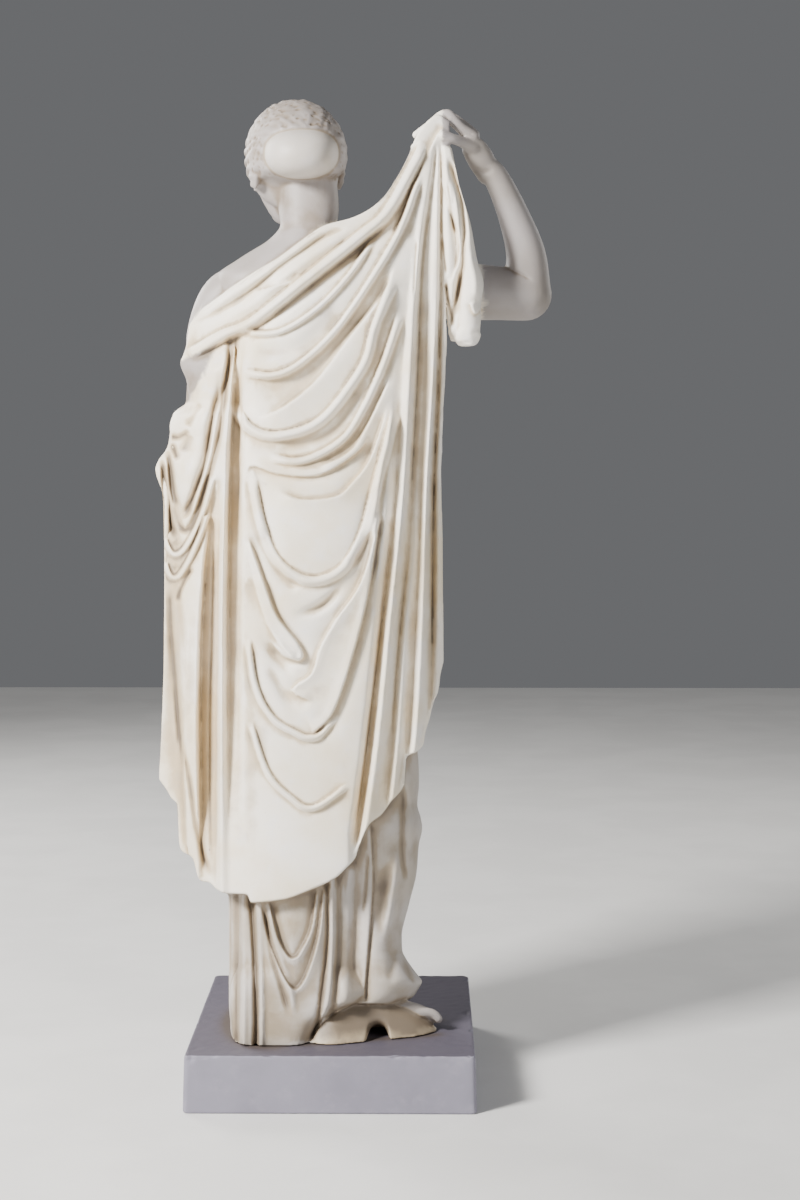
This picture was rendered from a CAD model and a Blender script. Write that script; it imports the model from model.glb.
"""A draped standing woman in marble on a low plinth, her right hand lifting the mantle behind her.

The frame is in metres, +Z up, with the origin under the plinth's centre; she faces +Y. Shapes are laid
out in millimetres. Outlines and folds are drawn on the upright plane y = 0, and carry() takes a drawn
point to its own depth along the line to a station point behind her.
"""

import bmesh
import bpy
import numpy as np
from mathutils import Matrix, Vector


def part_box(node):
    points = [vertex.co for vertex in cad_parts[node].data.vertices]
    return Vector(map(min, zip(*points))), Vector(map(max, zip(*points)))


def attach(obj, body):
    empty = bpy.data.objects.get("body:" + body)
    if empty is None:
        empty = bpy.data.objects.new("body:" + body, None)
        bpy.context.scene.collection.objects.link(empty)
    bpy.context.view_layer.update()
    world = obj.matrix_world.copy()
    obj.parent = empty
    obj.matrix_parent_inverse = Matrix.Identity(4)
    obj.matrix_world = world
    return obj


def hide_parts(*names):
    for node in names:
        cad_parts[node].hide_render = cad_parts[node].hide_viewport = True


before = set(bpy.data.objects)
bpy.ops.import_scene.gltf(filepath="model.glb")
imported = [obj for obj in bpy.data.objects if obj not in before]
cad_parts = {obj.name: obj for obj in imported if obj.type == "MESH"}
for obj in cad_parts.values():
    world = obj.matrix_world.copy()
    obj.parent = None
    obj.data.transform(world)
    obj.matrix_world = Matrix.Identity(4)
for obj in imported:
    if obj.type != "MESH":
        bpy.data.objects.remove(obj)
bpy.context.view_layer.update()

MM = 0.001
STATION = np.array([154.0, -3758.0, 1131.0])  # the point that outlines are drawn from, in mm
CAMERA_YAW = np.radians(0.57)
CAMERA_PITCH = np.radians(-4.22)
SENSOR = 36.0
LENS = 63.0

plinth_low, plinth_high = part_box("plinth")
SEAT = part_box("figure")[0].z / MM  # height of the figure's underside, in mm

VOXEL = 0.0023  # metres
MOST_FACES = 192000


# ---------- curves and small functions ----------


def ease(value, start=0.0, end=1.0):
    """0 before start, 1 after end, and 3s^2 - 2s^3 between."""
    s = np.clip((value - start) / (end - start), 0.0, 1.0)
    return s * s * (3.0 - 2.0 * s)


def through(rows):
    """A smooth function through rows (t, a, b, ...): cubics between rows, each slope the harmonic mean
    of its neighbours', so that no value overshoots. Returns one array for each column."""
    rows = np.array(rows, float)
    t, values = rows[:, 0], rows[:, 1:]
    span = np.diff(t)[:, None]
    rise = np.diff(values, axis=0) / span
    product = rise[:-1] * rise[1:]
    total = rise[:-1] + rise[1:]
    inner = np.where(product > 0, 2 * product / np.where(total == 0, 1, total), 0.0)
    slope = np.vstack([rise[:1], inner, rise[-1:]])

    def at(where):
        where = np.asarray(where, float)
        i = np.clip(np.searchsorted(t, where) - 1, 0, len(t) - 2)
        s = np.clip((where - t[i]) / span[i, 0], 0.0, 1.0)[..., None]
        blend = s * s * (3 - 2 * s)
        lean = slope[i] * s * (1 - s) ** 2 - slope[i + 1] * s * s * (1 - s)
        out = values[i] * (1 - blend) + values[i + 1] * blend + lean * span[i]
        return np.moveaxis(out, -1, 0)

    return at


def spline(points, count):
    """A Catmull-Rom curve through the points, sampled evenly in its own parameter."""
    points = np.array(points, float)
    ends = np.vstack([2 * points[0] - points[1], points, 2 * points[-1] - points[-2]])
    place = np.linspace(0, len(points) - 1, count)
    i = np.minimum(place.astype(int), len(points) - 2)
    s = (place - i)[:, None]
    a, b, c, d = ends[i], ends[i + 1], ends[i + 2], ends[i + 3]
    return 0.5 * (2 * b + (c - a) * s + (2 * a - 5 * b + 4 * c - d) * s**2
                  + (3 * b - a - 3 * c + d) * s**3)


def power(value, exponent):
    """|value|^exponent with value's own sign."""
    return np.sign(value) * np.abs(value) ** exponent


def waves(points, size, seed, count=28):
    """A smooth random field of about -1 to 1: the mean of plane waves in random directions, whose
    lengths lie within a third of size."""
    rng = np.random.default_rng(seed)
    way = rng.normal(size=(3, count))
    way /= np.linalg.norm(way, axis=0)
    way *= 2 * np.pi / (size * rng.uniform(0.7, 1.35, count))
    return np.cos(points @ way + rng.uniform(0, 2 * np.pi, count)).sum(1) / np.sqrt(count)


# ---------- drawn points ----------


def carry(drawn):
    """Drawn points (x, y, z) to true places: x and z grow away from the station point as y grows."""
    k = (1 - drawn[..., 1] / STATION[1])[..., None]
    true = STATION + (drawn - STATION) * k
    true[..., 1] = drawn[..., 1]
    return true


def drawn_from(true):
    """The reverse of carry."""
    k = (1 - true[..., 1] / STATION[1])[..., None]
    drawn = STATION + (true - STATION) / k
    drawn[..., 1] = true[..., 1]
    return drawn


# ---------- closed surfaces, each an (points, faces) pair ----------


def shell(rings, slab=False):
    """Closes a grid of rings, shape (rings, around, 3), into one surface. A slab's end rings are zipped
    across from back to front; any other's are fanned to their middles."""
    count, around, _ = rings.shape
    points = rings.reshape(-1, 3)
    low, high = np.meshgrid(np.arange(count - 1), np.arange(around), indexing="ij")
    next_one = (high + 1) % around
    quads = np.stack([low * around + high, low * around + next_one,
                      (low + 1) * around + next_one, (low + 1) * around + high], -1).reshape(-1, 4)
    faces = quads.tolist()
    last = (count - 1) * around
    if slab:
        i = np.arange(around // 2 - 1)
        end = np.stack([i, around - 1 - i, around - 2 - i, i + 1], -1)
        faces += end.tolist() + (last + end[:, ::-1]).tolist()
    else:
        i = np.arange(around)
        after = (i + 1) % around
        points = np.vstack([points, rings[0].mean(0), rings[-1].mean(0)])
        faces += np.stack([after, i, np.full(around, len(points) - 2)], -1).tolist()
        faces += np.stack([last + i, last + after, np.full(around, len(points) - 1)], -1).tolist()
    return points, faces


def column(rows, squareness=2.0, levels=90, around=96, flutes=None):
    """Level rings, each a superellipse. Rows are (z, middle x, half width, middle y, back, front).
    Squareness is a number or a function of z, and flutes is a function of angle and z that widens each
    ring by a fraction."""
    z = np.linspace(rows[0][0], rows[-1][0], levels)[:, None]
    if callable(squareness):
        squareness = squareness(z)
    x, half, y, back, front = (v[:, None] for v in through(rows)(z[:, 0]))
    a = np.linspace(0, 2 * np.pi, around, endpoint=False)[None]
    across = power(np.cos(a), 2 / squareness)
    along = power(np.sin(a), 2 / squareness)
    wider = 1 + (flutes(a, z) if flutes else 0)
    depth = np.where(along < 0, back, front)
    return shell(np.stack([x + half * across * wider, y + along * depth * wider, z + 0 * a], -1))


CAP_RINGS = 5  # rings in each rounded end of a limb


def limb(stations, levels=40, around=32, flat=1.0):
    """A round tube along a smooth path, its ends rounded by rings of radius sin t. Stations are
    (x, y, z, radius); flat scales the radius along y."""
    path = spline([s[:3] for s in stations], levels)
    spot = np.linspace(0, 1, len(stations))
    radius = through([(t, s[3]) for t, s in zip(spot, stations)])(np.linspace(0, 1, levels))[0]
    way = np.gradient(path, axis=0)
    way /= np.linalg.norm(way, axis=1, keepdims=True)
    bulge = np.sin(np.linspace(0.12, 1, CAP_RINGS + 1)[:-1] * np.pi / 2)
    push = np.sqrt(1 - bulge**2)[:, None]
    start = path[0] - way[0] * radius[0] * push
    end = path[-1] + way[-1] * radius[-1] * push[::-1]
    path = np.vstack([start, path, end])
    radius = np.concatenate([radius[0] * bulge, radius, radius[-1] * bulge[::-1]])
    way = np.vstack([np.repeat(way[:1], CAP_RINGS, 0), way, np.repeat(way[-1:], CAP_RINGS, 0)])
    side = np.array([0.0, 1.0, 0.0]) - way * way[:, 1:2]
    side /= np.linalg.norm(side, axis=1, keepdims=True)
    other = np.cross(way, side)
    a = np.linspace(0, 2 * np.pi, around, endpoint=False)[None, :, None]
    turned = np.cos(a) * side[:, None] * flat + np.sin(a) * other[:, None]
    return shell(path[:, None] + radius[:, None, None] * turned)


def egg(x, y, z, half, long, high, turn=0.0, taper=0.0, levels=48, around=56, square=2.0):
    """A superellipsoid turned about the vertical; taper narrows it below its middle."""
    tilt = np.linspace(-0.49, 0.49, levels)[:, None] * np.pi
    a = np.linspace(0, 2 * np.pi, around, endpoint=False)[None]
    narrow = 1 - taper * np.maximum(0, -np.sin(tilt))
    level = power(np.cos(tilt), 2 / square) * narrow
    across = power(np.cos(a), 2 / square) * level * half
    along = power(np.sin(a), 2 / square) * level * long
    rings = np.stack([
        x + across * np.cos(turn) - along * np.sin(turn),
        y + across * np.sin(turn) + along * np.cos(turn),
        z + power(np.sin(tilt), 2 / square) * high + 0 * a,
    ], -1)
    return shell(rings)


# ---------- the mantle ----------

HEM = through([
    (-319, 528), (-306, 510), (-297, 494), (-286, 482), (-283, 402), (-259, 384), (-250, 350),
    (-244, 342), (-230, 340), (-216, 327), (-200, 320), (-160, 318), (-154, 303), (-100, 308),
    (-50, 325), (0, 349), (20, 368), (36, 386), (43, 408), (62, 448), (82, 464), (100, 488), (124, 520),
    (128, 570), (146, 579), (159, 592), (162, 612), (170, 640), (178, 672), (186, 690), (189, 718),
    (195, 742),
])
TOP_EDGE = through([
    (-260, 1340), (-243, 1364), (-200, 1398), (-150, 1432), (-100, 1462), (-60, 1491), (-15, 1520),
    (30, 1532), (60, 1546), (88, 1569), (110, 1601), (130, 1637), (146, 1676), (166, 1702), (182, 1712),
    (206, 1700),
])
MANTLE_SIDES = through([
    (300, -319, 195), (530, -319, 195), (580, -316, 195), (740, -309, 195), (860, -307, 194),
    (960, -306, 193), (1000, -305, 192), (1045, -309, 191), (1088, -321, 190), (1106, -314, 191),
    (1122, -301, 192), (1146, -293, 192), (1162, -295, 193), (1182, -290, 194), (1196, -273, 194),
    (1212, -260, 195), (1245, -264, 197), (1276, -275, 198), (1292, -269, 199), (1312, -263, 200),
    (1340, -259, 199), (1366, -247, 198), (1400, -247, 197), (1500, -247, 194), (1620, -247, 202),
    (1710, -247, 206),
])
# Rows are (z, middle x, y at the middle, y at the left edge, y at the right edge).
MANTLE_BACK = through([
    (300, -60, -200, -50, -112), (600, -60, -186, -40, -104), (930, -55, -186, -35, -102),
    (1150, -55, -152, -30, -98), (1300, -50, -142, -30, -96), (1420, -30, -136, -40, -96),
    (1520, 40, -112, -60, -88), (1620, 130, -84, -60, -74), (1710, 170, -66, -60, -60),
])
SHEET_EDGE, SHEET_BURIED = 26, 150  # the slab's thickness at its sides and inside the body
SHEET_REACH = 105  # how far in from a side it takes to thicken
WRAP = 2.4  # how late the mantle curves round to its sides


def mantle(levels=260, stops=190):
    """A slab from the hem to the upper edge. Threads u run from the hem to the upper edge between the
    two side outlines; y follows (distance from the middle)^WRAP from the middle to the sides."""
    u = np.linspace(0, 1, stops)[None]
    v = np.linspace(0, 1, levels)[:, None]

    def across(z):
        left, right = MANTLE_SIDES(z)
        return left + (right - left) * u, left, right

    def end(edge, z):
        for _ in range(14):
            z = edge(across(z)[0])[0]
        return z

    low = end(HEM, np.full((1, stops), 400.0))
    high = end(TOP_EDGE, np.full((1, stops), 1500.0))
    z = low + (high - low) * v
    x, left, right = across(z)
    middle, y_back, y_left, y_right = MANTLE_BACK(z)
    s = np.where(x < middle, (middle - x) / (middle - left), (x - middle) / (right - middle))
    plain = y_back + (np.where(x < middle, y_left, y_right) - y_back) * np.clip(s, 0, 1) ** WRAP
    rim = ease(np.minimum(u, 1 - u), 0, 0.06)
    inwards = ease(np.minimum(right - x, x - left) / SHEET_REACH)
    plain -= sum(pleats.height(x, z) for pleats in PLEATS)
    thick = SHEET_EDGE + (SHEET_BURIED - SHEET_EDGE) * inwards * (1 - ease(z, 1440, 1520))
    front = plain + thick * (0.3 + 0.7 * rim)
    back_side = np.stack([x, plain, z], -1)
    front_side = np.stack([x, front, z], -1)[:, ::-1]
    return shell(np.concatenate([back_side, front_side], 1), slab=True)


def left_fall():
    """The cloth that falls from the left forearm, in upright folds at its front and outer side."""

    def flutes(a, z):
        outward = ease(np.cos(a - 2.2), -0.1, 0.6)
        folds = 0.6 * np.sin(9 * a + 0.003 * z) + 0.4 * np.sin(5 * a - 0.005 * z + 1)
        return -0.11 * outward * (0.5 + 0.5 * folds) * ease(z, 1130, 1000)

    return column([
        (402, -262, 21, 6, 60, 80), (470, -256, 27, 8, 66, 88), (500, -252, 46, 10, 70, 94),
        (530, -256, 61, 12, 74, 98), (740, -255, 54, 14, 72, 106), (900, -250, 57, 16, 68, 112),
        (1040, -250, 58, 22, 64, 122), (1090, -259, 61, 30, 60, 128), (1130, -246, 52, 30, 58, 122),
        (1185, -242, 47, 10, 50, 82), (1208, -238, 22, 2, 30, 46),
    ], squareness=2.6, levels=150, around=160, flutes=flutes)


def hanging_end():
    """The mantle's free end beside the arm, as a broad lobe and a narrower one behind it."""
    broad = column([
        (1308, 236, 16, -72, 18, 20), (1318, 236, 22, -73, 22, 24), (1345, 240, 20, -76, 24, 26),
        (1385, 241, 20, -80, 25, 28), (1415, 243, 22, -82, 25, 28), (1460, 235, 18, -83, 23, 26),
        (1520, 228, 14, -80, 20, 22), (1600, 212, 7, -74, 14, 14), (1655, 202, 6, -66, 10, 10),
    ])
    narrow = column([
        (1316, 214, 7, -66, 12, 18), (1345, 213, 12, -68, 18, 24), (1400, 211, 14, -72, 22, 28),
        (1440, 208, 15, -76, 22, 28), (1520, 204, 12, -76, 20, 24), (1600, 201, 8, -72, 14, 16),
        (1660, 196, 6, -66, 10, 10),
    ])
    return [broad, narrow]


# ---------- the body under the mantle ----------


def trunk():
    """The under-dress and trunk, from below the seat to the middle of the head."""
    return column([
        (10, -118, 76, -40, 176, 150), (40, -118, 75, -40, 174, 152), (62, -115, 78, -40, 172, 154),
        (80, -109, 84, -40, 170, 156), (96, -98, 96, -40, 168, 157), (108, -89, 106, -40, 166, 158),
        (118, -75, 120, -40, 164, 157), (140, -66, 129, -39, 160, 155), (200, -66, 129, -38, 152, 150),
        (300, -64, 131, -36, 138, 146), (450, -62, 138, -32, 126, 140), (650, -58, 150, -28, 132, 136),
        (900, -54, 160, -28, 138, 130), (1100, -54, 140, -20, 112, 112), (1200, -54, 136, -14, 106, 110),
        (1310, -52, 148, -10, 104, 112), (1380, -52, 158, -12, 100, 100), (1430, -52, 156, -12, 92, 84),
        (1462, -50, 117, -12, 80, 68), (1500, -47, 62, -12, 62, 54), (1520, -45, 50, -8, 56, 50),
        (1545, -45, 53, -4, 54, 50), (1610, -50, 54, 4, 52, 48),
    ], squareness=lambda z: 2.3 + 2.7 * ease(z, 190, 120), levels=220, around=200)


def trailing_leg():
    """The right leg trails under the dress, whose hem is lifted clear of the foot."""
    return column([
        (117, 54, 66, -66, 104, 92), (130, 64, 77, -66, 103, 92), (145, 70, 81, -65, 102, 92),
        (158, 74, 83, -64, 102, 92), (170, 70, 79, -63, 100, 90), (185, 66, 72, -62, 98, 88),
        (200, 62, 66, -62, 96, 86), (215, 60, 61, -61, 94, 85), (240, 59, 61, -58, 92, 84),
        (300, 62, 71, -50, 92, 86), (360, 68, 79, -45, 94, 92), (410, 70, 81, -41, 96, 98),
        (440, 72, 85, -40, 96, 120), (460, 70, 84, -39, 97, 140), (482, 66, 82, -38, 98, 150),
        (520, 68, 83, -36, 100, 152), (580, 65, 84, -34, 104, 146), (700, 34, 88, -30, 110, 128),
        (850, -20, 60, -28, 90, 84),
    ], levels=160)


def arms():
    """Each arm as two limbs, from the shoulder to the elbow and from the elbow to the wrist."""
    shoulder_right = limb([
        (50, -8, 1428, 50), (150, -4, 1412, 54), (240, 2, 1403, 50), (300, 8, 1399, 47),
        (340, 12, 1397, 46),
    ])
    forearm_right = limb([
        (342, 12, 1402, 43), (339, 10, 1470, 35), (316, 4, 1540, 27.5), (289, -6, 1598, 23),
        (270, -12, 1622, 21),
    ], levels=60)
    arm_left = limb([
        (-140, -8, 1400, 46), (-188, -10, 1393, 47), (-216, -10, 1330, 46), (-224, -8, 1240, 39),
        (-230, -6, 1170, 38),
    ])
    forearm_left = limb([
        (-232, 0, 1140, 42), (-238, 80, 1128, 37), (-238, 150, 1142, 27), (-236, 190, 1152, 22),
    ])
    return [shoulder_right, forearm_right, arm_left, forearm_left]


def hands():
    """The right hand pinches the cloth between thumb and arched fingers; the left is open, palm up."""
    palm = [(272, -12, 1610, 21), (259, -20, 1635, 24), (247, -28, 1655, 22), (242, -34, 1670, 14)]
    fingers_and_thumb = [
        [(246, -34, 1674, 11), (225, -42, 1690, 9), (211, -46, 1704, 9), (201, -46, 1713.5, 8.5),
         (190, -44, 1711.5, 8), (178, -38, 1702, 8)],
        [(246, -14, 1676, 12), (222, -16, 1698, 9.5), (203, -18, 1709, 9), (186, -20, 1703, 9),
         (165, -20, 1690, 8.5), (145, -20, 1677, 7)],
        [(242, 2, 1670, 12), (218, 0, 1693, 9), (200, -2, 1704, 8.5), (180, -6, 1693, 8.5),
         (160, -10, 1673, 8), (142, -12, 1655, 7)],
        [(246, -36, 1655, 13), (224, -54, 1665.5, 9.5), (208, -66, 1671, 9), (194, -73, 1677.5, 7)],
    ]
    right = [limb(palm, flat=0.75)] + [limb(stations) for stations in fingers_and_thumb]
    left = [
        limb([(-234, 184, 1150, 20), (-232, 204, 1153, 24), (-231, 216, 1156, 21)], flat=0.9),
        limb([(-210, 196, 1158, 10), (-198, 214, 1170, 9), (-194, 230, 1180, 8), (-196, 240, 1188, 7)]),
    ]
    for finger in range(4):
        x, reach = -210 - 14 * finger, 246 - 3 * abs(finger - 1)
        left.append(limb([
            (x, 214, 1156, 9.5), (x, reach - 12, 1158, 8.5), (x + 1, reach, 1168, 8),
            (x + 3, reach + 1, 1182, 7),
        ]))
    return right + left


# ---------- the feet ----------


SOLE_LEAN = 0.45  # how far the support leans forward for each mm of height


def sole():
    """The arched support under the raised foot: sections across its length, each a superellipse of
    power 4 that leans forward as it rises, open below in the middle. Rows are
    (x, y, half depth, bottom, top)."""
    rows = [
        (-80, -168, 36, 20, 40), (-44, -170, 38, 20, 54), (-30, -174, 40, 20, 84), (-8, -176, 42, 20, 104),
        (20, -168, 44, 20, 120), (52, -158, 44, 22, 126), (58, -156, 44, 58, 126), (64, -154, 44, 72, 126),
        (76, -151, 44, 78, 126), (88, -147, 44, 73, 125), (95, -145, 44, 60, 125), (100, -143, 44, 24, 124),
        (140, -131, 42, 20, 102), (170, -124, 32, 20, 82), (184, -122, 22, 20, 72),
    ]
    x = np.linspace(rows[0][0], rows[-1][0], 170)[:, None]
    y, half, bottom, top = (v[:, None] for v in through(rows)(x[:, 0]))
    a = np.linspace(0, 2 * np.pi, 64, endpoint=False)[None]
    across = power(np.cos(a), 0.5)
    up = power(np.sin(a), 0.5)
    z = (top + bottom) / 2 + (top - bottom) / 2 * up
    lean = SOLE_LEAN * (z - rows[0][3])
    return shell(np.stack([x + 0 * a, y + half * across + lean, z], -1))


def feet():
    """The raised right foot on its support, and the left foot, whose toes show past the dress. The
    toes lie side by side and grow shorter by the square of their number."""
    right = [
        sole(),
        limb([(36, -126, 98, 26), (96, -116, 100, 27), (138, -108, 96, 24), (162, -104, 92, 19)]),
        limb([(30, -118, 96, 28), (60, -96, 160, 34)]),
    ]
    for toe in range(5):
        y = -120 + 11.5 * toe
        reach = 186 - 2.2 * toe * toe
        right.append(limb([
            (140, y, 98, 12), (166, y, 100, 10 - 0.5 * toe), (reach - 8, y, 97, 9 - 0.5 * toe),
            (reach, y, 89, 8.5 - 0.5 * toe),
        ], around=20))
    left = [limb([(-112, 60, 122, 44), (-116, 118, 132, 34), (-118, 140, 136, 28)])]
    for toe in range(5):
        x = -94 - 12.5 * toe
        reach = 190 - 1.8 * toe * toe
        left.append(limb([
            (x, 120, 146, 13), (x, 160, 148, 11 - 0.8 * toe), (x, reach, 143, 9.5 - 0.8 * toe),
        ], around=20))
    return right + left


# ---------- the head ----------

HEAD = {"x": -68.0, "y": 6.0, "z": 1640.0, "turn": 0.3}  # its middle in mm, and its turn in radians
SKULL = (88, 104, 98)  # half width, depth and height
BUN = (-58, -53, 1645, 65, 72, 44)  # x, y, z, half width, depth and height
BUN_SQUARE = 2.3


def head_place(aside, ahead, up):
    """A point given to her left-right, ahead and up from the head's middle, as a drawn point."""
    c, s = np.cos(HEAD["turn"]), np.sin(HEAD["turn"])
    return HEAD["x"] + aside * c - ahead * s, HEAD["y"] + aside * s + ahead * c, HEAD["z"] + up


def head():
    """Skull, face, jaw and chin, the smooth roll of hair at the back, and the ears. The skull's back is
    drawn in to the nape below the roll."""
    turn = HEAD["turn"]
    points, faces = egg(0, 0, 0, *SKULL)
    nape = ease(-points[:, 2], 18, 58) * ease(-points[:, 1], -30, 30)
    points[:, 1] *= 1 - 0.6 * nape
    points[:, 0] *= 1 - 0.3 * nape
    skull = np.stack(head_place(*points.T), -1)
    return [
        (skull, faces),
        egg(*head_place(0, 40, -40), 61, 63, 84, turn, taper=0.3),
        egg(*head_place(0, 50, -82), 37, 42, 34, turn),
        egg(*head_place(0, 66, -100), 24, 22, 20, turn),
        limb([(*head_place(0, 93, -14), 8), (*head_place(0, 101, -36), 8.5), (*head_place(0, 110, -58), 9)],
             around=24),
        egg(*head_place(-8.5, 101, -62), 6.5, 9, 6, turn, levels=20, around=24),
        egg(*head_place(8.5, 101, -62), 6.5, 9, 6, turn, levels=20, around=24),
        egg(*BUN, square=BUN_SQUARE),
        egg(*head_place(79, -4, -28), 8, 16, 32, turn, levels=30, around=36),
        egg(*head_place(-77, -4, -28), 8, 16, 30, turn, levels=30, around=36),
    ]


# ---------- carving: folds drawn as strokes ----------


class Stroke:
    """A fold along a drawn path, dying away at its ends. Its height by the signed distance d from the
    path, positive on the right of the way it runs, is for each kind:
    bell: height * exp(-(d / width)^2);
    lap: a step up from left to right, level again at a distance of about width;
    lip: a narrow crease, then a rounded roll of that width and height on the right, then a soft drop.
    tint is how much patina lies in it."""

    def __init__(self, kind, height, width, path, tint=0.0, fade=0.18):
        self.kind, self.height, self.width, self.tint, self.fade = kind, height, width, tint, fade
        self.points = spline(path, 9 * len(path))
        self.reach = {"bell": 2.8, "lap": 3.2, "lip": 4.2}[kind] * width + 4

    def measure(self, x, z):
        """Signed distance (positive on the right of the path) and the fraction along it: of all the
        path's short straight steps, the nearest one counts."""
        best = np.full(x.shape, 1e9)
        side = np.zeros(x.shape)
        along = np.zeros(x.shape)
        steps = np.diff(self.points, axis=0)
        lengths = np.hypot(steps[:, 0], steps[:, 1])
        starts = np.concatenate([[0], np.cumsum(lengths)])
        for (px, pz), (sx, sz), length, start in zip(self.points, steps, lengths, starts):
            rx, rz = x - px, z - pz
            t = np.clip((rx * sx + rz * sz) / length**2, 0, 1)
            away = np.hypot(rx - t * sx, rz - t * sz)
            nearer = away < best
            best = np.where(nearer, away, best)
            side = np.where(nearer, rx * sz - rz * sx, side)
            along = np.where(nearer, (start + t * length) / starts[-1], along)
        return best * np.where(side < 0, -1.0, 1.0), along

    def profile(self, d):
        """Height and tint by signed distance."""
        w = self.width
        if self.kind == "bell":
            return np.exp(-((d / w) ** 2)), np.exp(-((d / (0.7 * w)) ** 2))
        if self.kind == "lap":
            step = np.tanh(d / 2.0) * np.exp(-((np.abs(d) / w) ** 1.3))
            sunk = d * np.sign(self.height) < 0
            return step, np.exp(-((d / 2.2) ** 2)) + 0.25 * sunk * np.exp(-np.abs(d) / (0.7 * w))
        roll = np.sin(np.pi * np.clip(d / w, 0, 1)) ** 0.7
        above = np.where(d < 0, -0.4 * np.exp(d / (0.7 * w + 4)), 0.0)
        drop = -0.35 * ease(d, 0.55 * w, 1.15 * w)
        below = np.where(d > 0, drop * np.exp(-np.maximum(d - w, 0) / (0.9 * w + 6)), 0.0)
        crease = np.exp(-((d / 2.0) ** 2))
        return roll + above + below - 0.15 * crease, crease + 0.45 * np.exp(-(((d - 1.1 * w) / 3.5) ** 2))

    def apply(self, x, z, height, tint):
        """Adds the fold's height and patina to both arrays at the points it reaches."""
        low, high = self.points.min(0) - self.reach, self.points.max(0) + self.reach
        near = np.flatnonzero((x > low[0]) & (x < high[0]) & (z > low[1]) & (z < high[1]))
        if not len(near):
            return
        d, along = self.measure(x[near], z[near])
        fade = ease(np.minimum(along, 1 - along) / self.fade) if self.fade else 1.0
        shape, dirt = self.profile(d)
        height[near] += self.height * shape * fade
        tint[near] += self.tint * dirt * fade


class Pleats:
    """Upright folds side by side. Each line is a crest or a hollow, given as rows of (z, x, height);
    from one line to the next the height eases across. It is 0 to the right of the last line, and all of
    it dies away to the level of top."""

    BAND = 34  # the height over which the pleats die away, in mm

    def __init__(self, strength, top, *lines):
        self.strength, self.top = strength, top
        self.lines = [through(line) for line in lines]

    def height(self, x, z):
        """Height at each point, before any stroke is added."""
        places = [line(z) for line in self.lines]
        rise = np.where(x < places[0][0], places[0][1], 0.0)
        for (left, low), (right, high) in zip(places, places[1:]):
            across = ease((x - left) / np.maximum(right - left, 1))
            rise = np.where(x >= left, low + (high - low) * across, rise)
        return self.strength * rise * ease(z, self.top, self.top - self.BAND)


def furrow(depth, width, *path, tint=0.5, fade=0.18):
    """A rounded hollow."""
    return Stroke("bell", -depth, width, path, tint, fade)


def ridge(height, width, *path, fade=0.18):
    """A rounded crest, rubbed a little cleaner than the stone round it."""
    return Stroke("bell", height, width, path, -0.12, fade)


def lap(height, width, *path, tint=0.6, fade=0.12):
    """The edge of one layer over another, raised on its right."""
    return Stroke("lap", height, width, path, tint, fade)


def lip(height, width, *path, tint=0.6, fade=0.12):
    """The rolled edge of a swag, on the path's right."""
    return Stroke("lip", height, width, path, tint, fade)


def stain(amount, width, *path, fade=0.3):
    """Patina alone, with no change of shape."""
    return Stroke("bell", 0.0, width, path, amount, fade)


# The long pleats on her right, from the raised hand to the hem, from left to right.
RIGHT_PLEATS = Pleats(
    1.7, 1668,
    [(430, 21, 1), (600, 45, 2), (820, 69, 2), (1060, 92, 1), (1250, 104, 0), (1500, 134, 0)],
    [(400, 34, -4), (430, 39, -12), (600, 61, -17), (820, 85, -15), (1060, 110, -8), (1250, 118, -2),
     (1500, 142, 0)],
    [(430, 53, 3), (600, 77, 4), (820, 99, 4), (1060, 123, 5), (1250, 134, 6), (1440, 145, 4),
     (1655, 176, 2)],
    [(430, 84, -8), (600, 102, -12), (820, 120, -13), (1060, 138, -16), (1250, 148, -15), (1440, 156, -10),
     (1655, 181, -4)],
    [(430, 96, -2), (600, 113, -1), (820, 128, -4), (900, 139, -8), (1060, 150, -9), (1250, 160, -8),
     (1440, 168, -5), (1655, 183, -1)],
    [(520, 118, -8), (600, 130, -10), (820, 144, -10), (1060, 156, -7), (1250, 168, -4), (1440, 176, 0),
     (1655, 184, 1)],
    [(520, 132, 0), (600, 145, 2), (820, 157, 2), (1060, 164, 2), (1250, 175, 2), (1440, 183, 2),
     (1655, 185, 2)],
    [(520, 146, -8), (600, 160, -12), (680, 171, -15), (820, 174, -18), (1060, 177, -18), (1250, 185, -17),
     (1440, 189, -12), (1655, 188, -5)],
    [(520, 155, -2), (680, 182, -4), (820, 187, -6), (1060, 186, -6), (1250, 192, -5), (1440, 196, -1),
     (1655, 192, 0)],
)

RIGHT_CREASES = [
    furrow(3, 2.4, (182, 1180), (176, 1000), (174, 800), (173, 720), tint=0.35),
    furrow(3, 2.4, (176, 1602), (157, 1460), (147, 1240), (134, 1000), tint=0.35),
    furrow(3, 2.4, (133, 960), (114, 770), (101, 600), tint=0.3),
    furrow(3, 2.4, (92, 880), (69, 690), (46, 510), (36, 432), tint=0.35),
    furrow(4, 2.4, (147, 1500), (143, 1440), (141, 1390), tint=0.5),
    stain(0.34, 12, (163, 1470), (161, 1250), (154, 1050), (146, 880)),
    stain(0.3, 12, (142, 930), (136, 800), (127, 650), (118, 560)),
    stain(0.3, 8, (191, 1420), (188, 1200), (184, 900), (180, 700)),
]

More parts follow.
